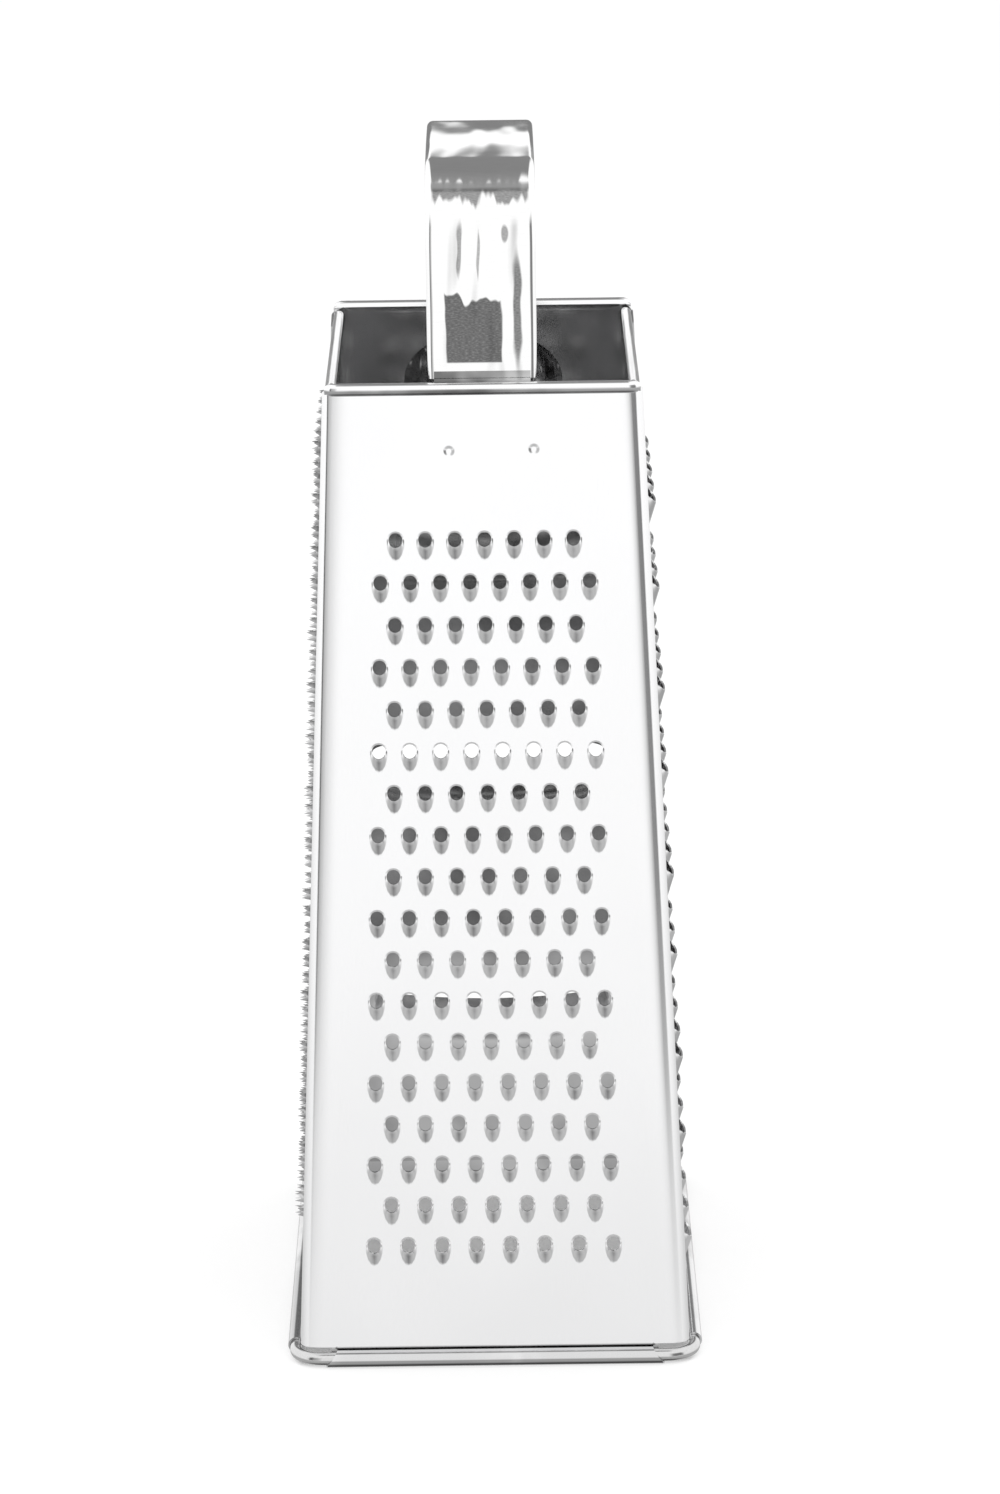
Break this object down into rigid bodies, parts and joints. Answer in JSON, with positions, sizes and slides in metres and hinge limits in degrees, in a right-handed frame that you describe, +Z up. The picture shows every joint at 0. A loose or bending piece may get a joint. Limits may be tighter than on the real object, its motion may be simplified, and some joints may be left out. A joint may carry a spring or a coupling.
{
  "type": "box grater",
  "caption": "Tapered four-sided kitchen grater of pressed stainless sheet with fine, coarse, rasp and slicing walls, a wired base hem and a strap handle on top.",
  "frame": {"origin": "middle of the base, on the plane that the base hems rest on", "axes": "+Z up through the handle, -Y out of the finely shredding wall, +Y out of the slicing wall, +X out of the coarsely shredding wall, -X out of the rasp"},
  "size_m": [0.084, 0.1138, 0.2403],
  "materials": {
    "wall_steel": "bright polished stainless sheet with a faint grain",
    "wire_steel": "bright drawn wire",
    "handle_steel": "mirror polished strap with a faint cross grain"
  },
  "bodies": {
    "root": {"fine_shredder_panel": "wall_steel", "slicing_panel": "wall_steel", "rasp_panel": "wall_steel", "coarse_shredder_panel": "wall_steel", "base_wire": "wire_steel", "handle": "handle_steel"}
  },
  "joints": []
}
